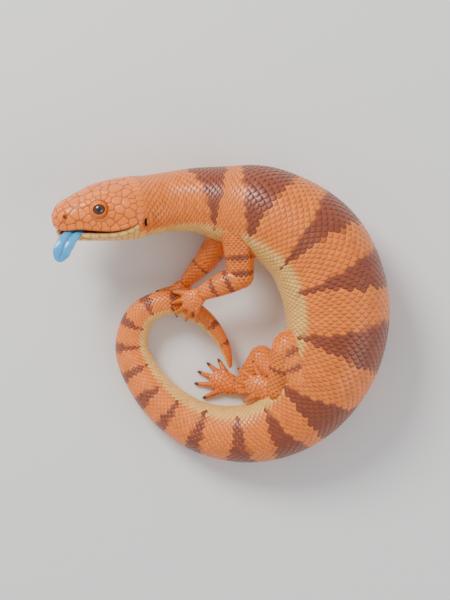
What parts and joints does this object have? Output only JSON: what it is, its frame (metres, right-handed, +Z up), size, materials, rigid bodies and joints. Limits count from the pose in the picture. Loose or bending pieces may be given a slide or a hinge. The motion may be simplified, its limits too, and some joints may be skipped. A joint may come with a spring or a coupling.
{
  "type": "blue tongued skink",
  "caption": "Life-size stout lizard lying curled on its right side, tail between its feet, orange with dark bands, broad blue tongue out over the lower lip",
  "frame": {"origin": "on the floor, below the middle of the bounding box", "axes": "+Z up from the floor to the left flank; -X where the snout points; -Y toward the hip end of the curl"},
  "size_m": [0.2286, 0.2032, 0.0731],
  "materials": {
    "banded_scales": "satin scales, orange with russet bands and a cream belly",
    "pale_scales": "satin scales, cream",
    "tongue": "wet, blue",
    "eye": "wet gloss, dark"
  },
  "bodies": {
    "root": {"neck": "banded_scales", "chest": "banded_scales", "belly": "banded_scales", "loin": "banded_scales", "pelvis": "banded_scales", "tail_base": "banded_scales", "tail_2": "banded_scales", "tail_3": "banded_scales", "tail_4": "banded_scales", "tail_5": "banded_scales", "tail_tip": "banded_scales", "head": "banded_scales", "left_upper_arm": "banded_scales", "left_forearm": "banded_scales", "left_hand": "banded_scales", "right_upper_arm": "banded_scales", "right_forearm": "banded_scales", "right_hand": "banded_scales", "left_thigh": "banded_scales", "left_shank": "banded_scales", "left_foot": "banded_scales", "right_thigh": "banded_scales", "right_shank": "banded_scales", "right_foot": "banded_scales", "jaw": "pale_scales", "tongue": "tongue", "left_eye": "eye", "right_eye": "eye"}
  },
  "joints": []
}
